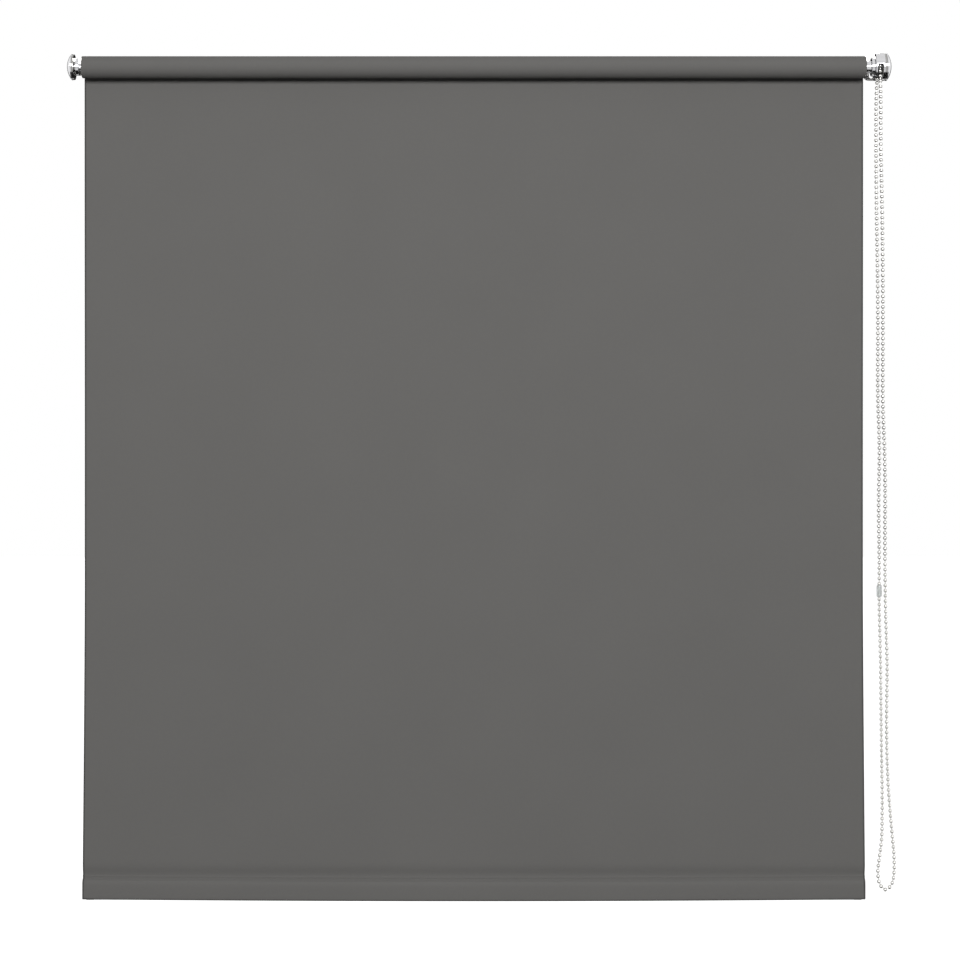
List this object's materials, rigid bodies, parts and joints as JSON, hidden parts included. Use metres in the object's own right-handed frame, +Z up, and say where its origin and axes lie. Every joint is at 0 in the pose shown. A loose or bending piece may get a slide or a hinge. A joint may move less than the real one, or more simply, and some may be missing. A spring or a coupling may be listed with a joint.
{
  "type": "roller blind",
  "caption": "Roller blind: blackout cloth on a sprung-pin roller tube between two wall brackets, raised by a bead chain on a sprocket, with a weighted bottom hem.",
  "frame": {"origin": "on the wall plane, level with the roller's axis, midway along the fabric's width", "axes": "+Z up, +X along the roller towards the chain, +Y into the wall"},
  "size_m": [0.953, 0.0475, 0.983],
  "materials": {
    "tube_steel": "galvanised",
    "tape": "adhesive film",
    "blackout_cloth": "coated woven polyester, matt",
    "bar_aluminium": "mill finish",
    "grey_plastic": "moulded",
    "bracket_steel": "bright nickel plated",
    "chromed_plastic": "bright chrome on moulded plastic",
    "chromed_pin": "bright nickel plated",
    "white_plastic": "moulded",
    "screw_steel": "zinc plated",
    "spring_steel": "drawn wire",
    "chain_metal": "bright nickel plated",
    "clear_plastic": "clear moulded"
  },
  "bodies": {
    "root": {"fabric_sheet": "blackout_cloth", "bracket_drive": "bracket_steel", "bracket_idle": "bracket_steel", "bracket_cover_drive": "chromed_plastic", "bracket_cover_idle": "chromed_plastic", "chain_housing": "chromed_plastic", "drive_spindle": "white_plastic", "spindle_screw": "screw_steel", "clutch_spring_1": "spring_steel", "clutch_spring_2": "spring_steel", "chain_on_sprocket": "chain_metal", "chain_front": "chain_metal", "chain_back": "chain_metal", "idle_socket": "chromed_plastic"},
    "roller": {"roller_tube": "tube_steel", "fixing_tape": "tape", "fabric_roll": "blackout_cloth", "drive_crown": "chromed_plastic", "drive_collar": "chromed_plastic", "sprocket": "grey_plastic", "idle_plug": "white_plastic", "idle_spring": "spring_steel", "spring_seat": "white_plastic"},
    "idle_pin": {"idle_pin": "chromed_pin"},
    "bottom_bar": {"hem_pocket": "blackout_cloth", "bottom_bar": "bar_aluminium", "bottom_bar_cap_left": "grey_plastic", "bottom_bar_cap_right": "grey_plastic"},
    "chain_connector": {"chain_connector": "clear_plastic"}
  },
  "joints": [
    {"name": "roller_spin", "type": "hinge", "parent": "root", "child": "roller", "pos_m": [0, -0.032, 0], "axis": [1, 0, 0], "range_deg": [0, 3456], "deforming": ["chain_on_sprocket"]},
    {"name": "bottom_bar_lift", "type": "slide", "parent": "root", "child": "bottom_bar", "axis": [0, 0, 1], "range_m": [0, 0.8757], "deforming": ["fabric_sheet"]},
    {"name": "connector_travel", "type": "slide", "parent": "root", "child": "chain_connector", "axis": [-0.0052, 0, 1], "range_m": [0, 0.5761], "deforming": ["chain_back", "chain_front"]},
    {"name": "idle_pin_press", "type": "slide", "parent": "roller", "child": "idle_pin", "axis": [1, 0, 0], "range_m": [0, 0.007], "stiffness_N_per_m": 1500, "springref_m": -0.004, "deforming": ["idle_spring"]}
  ],
  "couplings": [
    {"joint": "bottom_bar_lift", "follows": "roller_spin", "m_per_rad": 0.014516},
    {"joint": "connector_travel", "follows": "roller_spin", "m_per_rad": 0.0095493}
  ]
}
